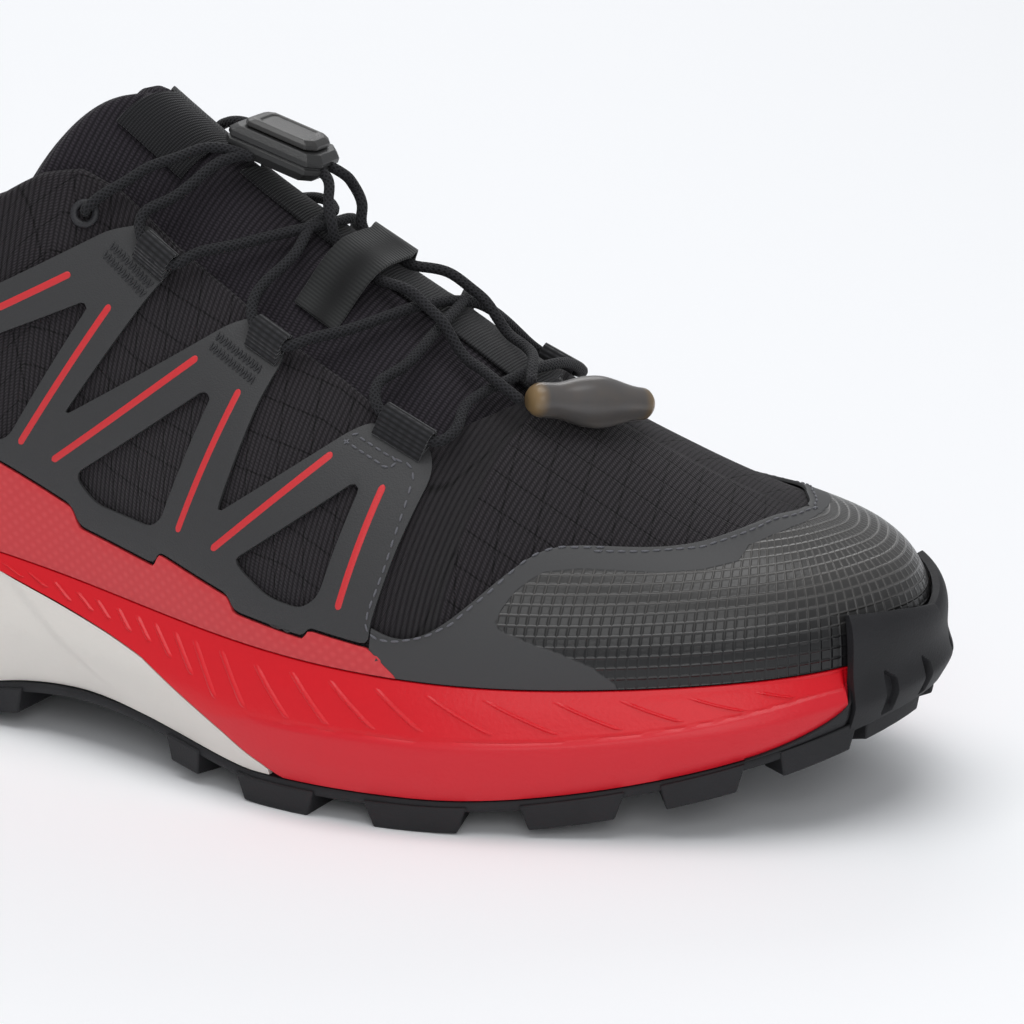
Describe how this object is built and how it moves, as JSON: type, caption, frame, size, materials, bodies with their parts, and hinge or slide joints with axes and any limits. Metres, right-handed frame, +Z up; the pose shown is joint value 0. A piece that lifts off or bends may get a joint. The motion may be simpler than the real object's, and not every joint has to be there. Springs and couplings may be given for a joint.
{
  "type": "trail running shoe",
  "caption": "Low trail running shoe for the right foot: hollow knit upper with bonded film bracing, toggle lacing, two-colour foam midsole and a lugged rubber outsole.",
  "frame": {"origin": "centre of the flat bottom of the middle heel lug, on the ground", "axes": "+X from heel to toe, +Y to the inner (medial) side, +Z up"},
  "size_m": [0.3003, 0.1122, 0.1378],
  "materials": {
    "knit": "matte",
    "film": "satin",
    "red_film": "satin",
    "red_foam": "satin",
    "white_foam": "matte",
    "rubber": "matte",
    "padding": "matte",
    "webbing": "matte",
    "elastic": "matte",
    "cord": "matte",
    "lock": "satin",
    "smoke": "gloss"
  },
  "bodies": {
    "root": {"upper": "knit", "toe_cap": "film", "frame_lateral": "film", "frame_medial": "film", "heel_counter": "film", "rand_lateral": "red_film", "rand_medial": "red_film", "collar_padding": "padding", "insole": "padding", "tongue": "knit", "tongue_strip": "webbing", "tongue_label": "webbing", "tongue_band": "elastic", "midsole": "red_foam", "midsole_core": "white_foam", "outsole": "rubber", "lace_loop_lateral_1": "webbing", "lace_loop_lateral_2": "webbing", "lace_loop_lateral_3": "webbing", "lace_loop_medial_1": "webbing", "lace_loop_medial_2": "webbing", "lace_loop_medial_3": "webbing", "lace_loop_medial_4": "webbing", "eyelet_lateral": "lock", "eyelet_medial": "lock", "lace_crossings": "cord", "lace_top_lateral": "cord", "lace_top_medial": "cord", "lace_pull_lateral": "cord", "lace_pull_medial": "cord", "lace_lock_body": "lock", "lace_lock_button": "film", "lace_puller": "smoke"}
  },
  "joints": []
}
